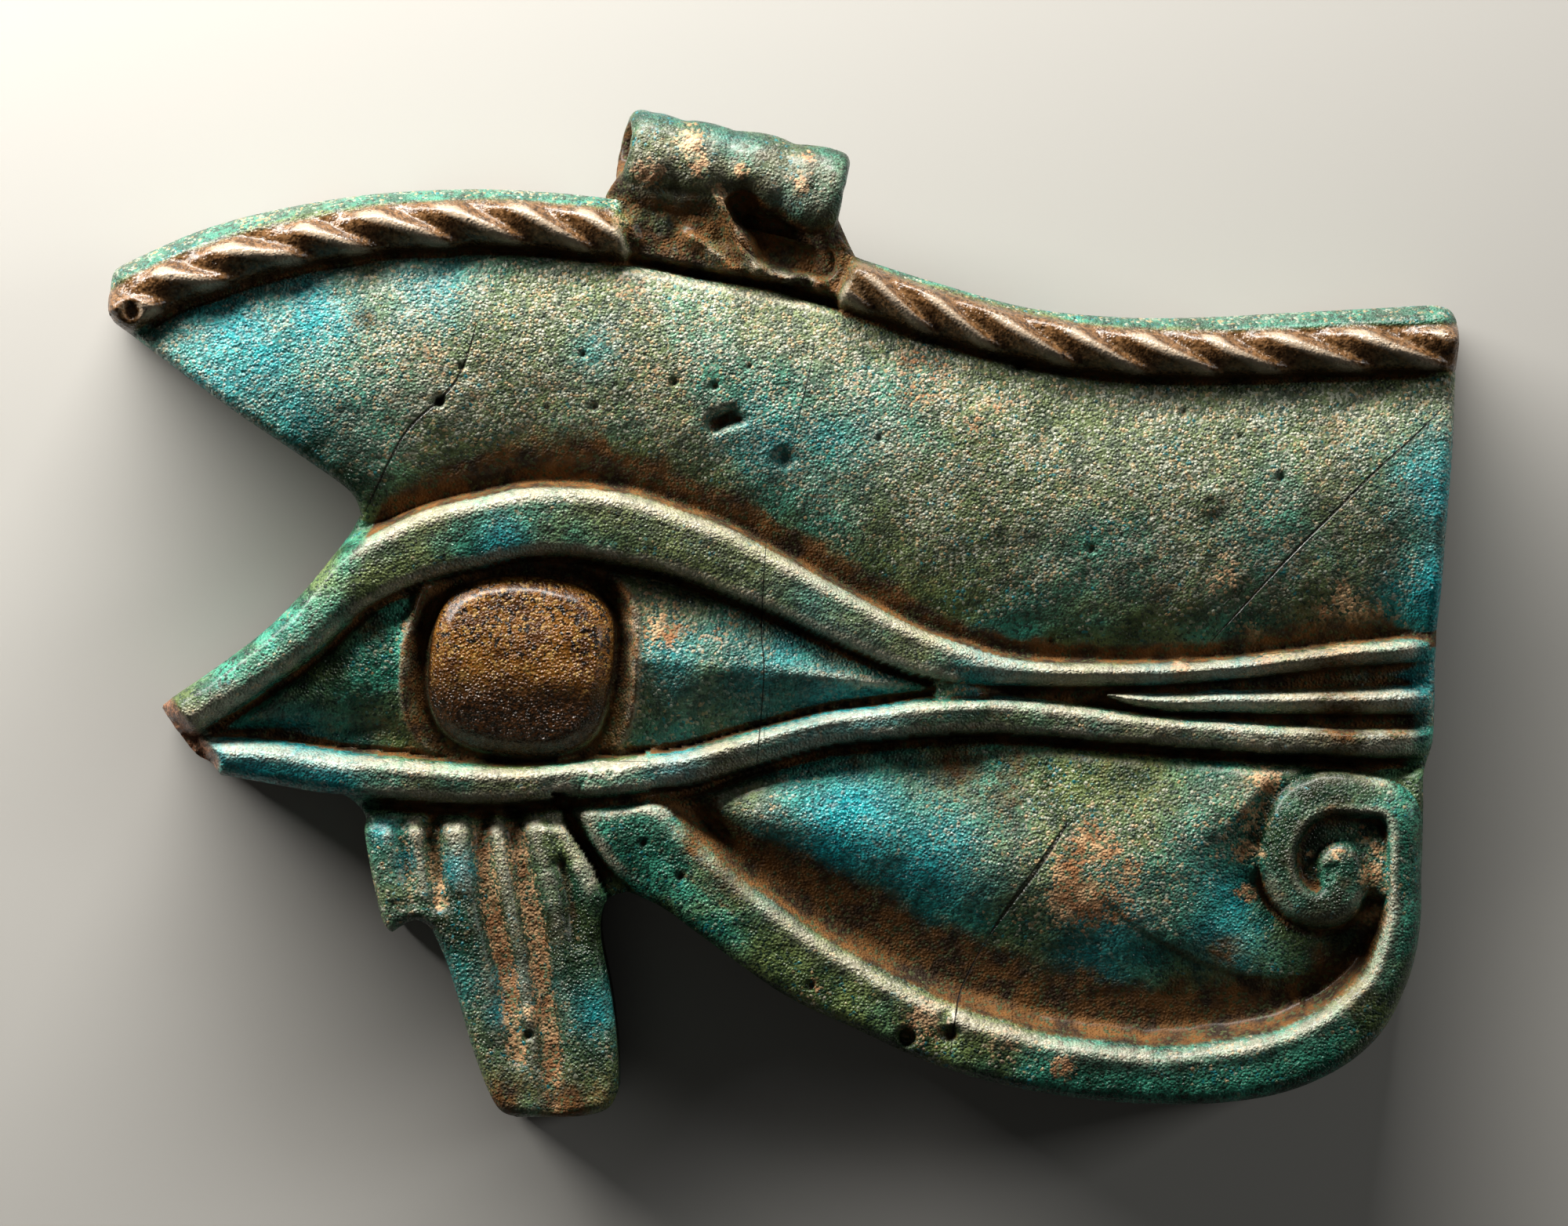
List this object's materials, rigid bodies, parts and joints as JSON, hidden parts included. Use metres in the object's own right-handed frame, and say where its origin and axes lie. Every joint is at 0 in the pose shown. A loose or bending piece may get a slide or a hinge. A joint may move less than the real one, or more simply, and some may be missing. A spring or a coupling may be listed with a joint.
{
  "type": "wedjat eye amulet",
  "caption": "Flat glazed composition amulet in the form of an eye, with brow, twisted rope trim, inlaid iris, fluted cheek mark, spiral curl and a ribbed suspension loop.",
  "frame": {"origin": "middle of the flat back, at the centre of the bounding box", "axes": "+X to the right of the eye as seen from the front, +Y to its top, +Z out of the front face; the back lies on the plane z = 0"},
  "size_m": [0.052, 0.039, 0.0055],
  "materials": {
    "plate_glaze": "worn matt turquoise and green glaze with brown staining and sandy wear",
    "relief_glaze": "worn satin turquoise glaze",
    "dark_paste": "manganese brown paste with a worn satin glaze"
  },
  "bodies": {
    "root": {"plate": "plate_glaze", "brow_rope_left": "dark_paste", "brow_rope_right": "dark_paste", "suspension_loop": "relief_glaze", "upper_lid": "relief_glaze", "lower_lid": "relief_glaze", "cosmetic_line_middle": "relief_glaze", "eyeball": "plate_glaze", "iris_inlay": "dark_paste", "cheek_mark": "relief_glaze", "curl_band": "relief_glaze"}
  },
  "joints": []
}
